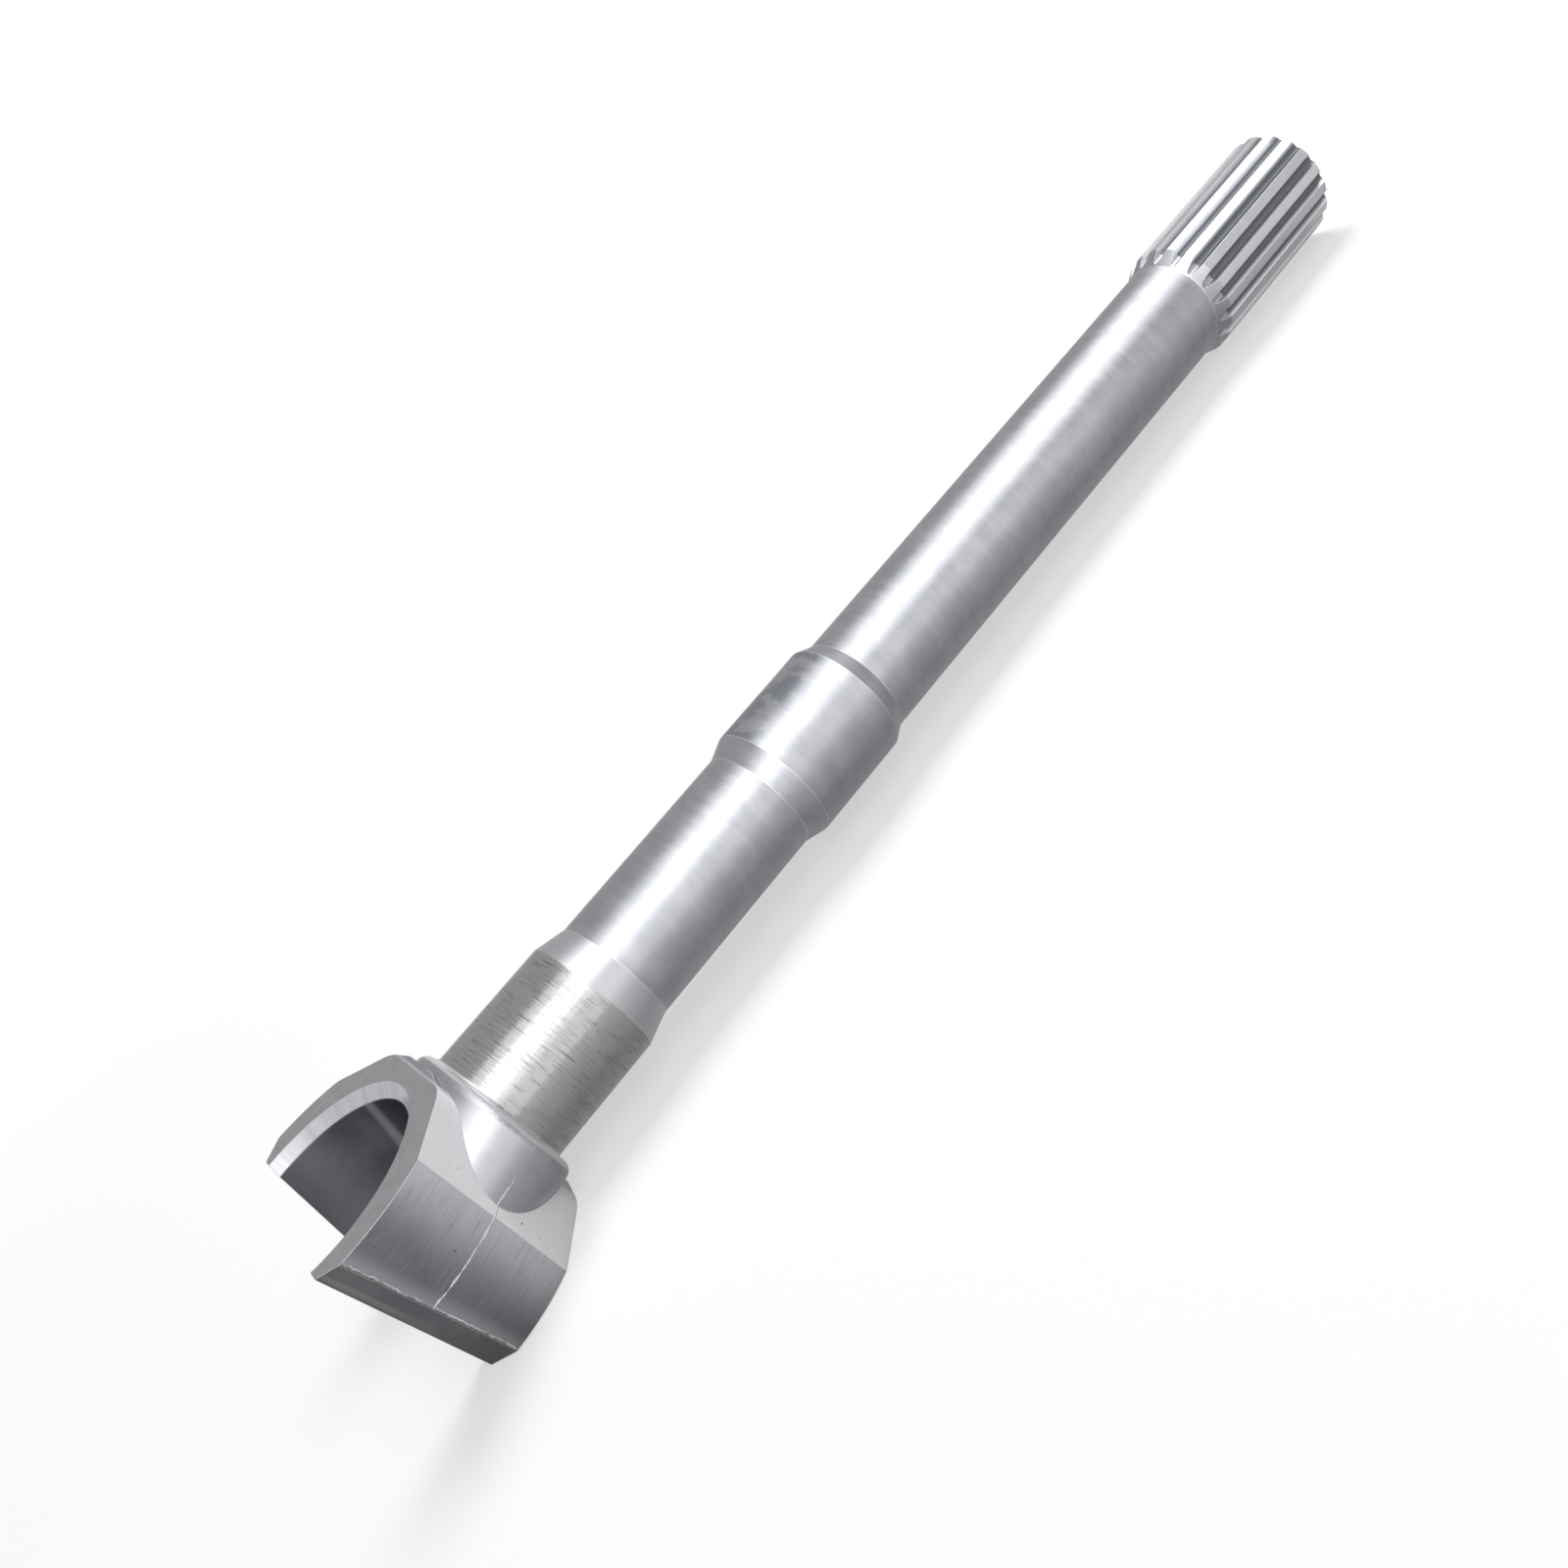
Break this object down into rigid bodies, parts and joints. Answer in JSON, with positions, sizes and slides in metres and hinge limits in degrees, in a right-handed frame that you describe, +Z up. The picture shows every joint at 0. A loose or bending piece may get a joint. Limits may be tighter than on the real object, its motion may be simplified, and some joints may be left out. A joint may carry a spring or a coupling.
{
  "type": "axle shaft",
  "caption": "Forged driving axle shaft with a C-shaped fork, an oval boss, a ground bush journal, a seal collar and a straight splined end.",
  "frame": {"origin": "on the floor, under the middle of the part's box, as the part lies at rest on one end face of the fork and the tip of the spline", "axes": "+X runs from the fork to the spline in plan, the shaft's own axis sloping down by 0.69 degrees towards the spline; +Y square to it, out of one cheek of the fork; +Z up, along the fork's slot to within that angle"},
  "size_m": [0.7054, 0.1312, 0.0769],
  "materials": {
    "steel": "forged steel, turned, milled and ground bright, with a satin brushed finish"
  },
  "bodies": {
    "root": {"axle_shaft": "steel"}
  },
  "joints": []
}
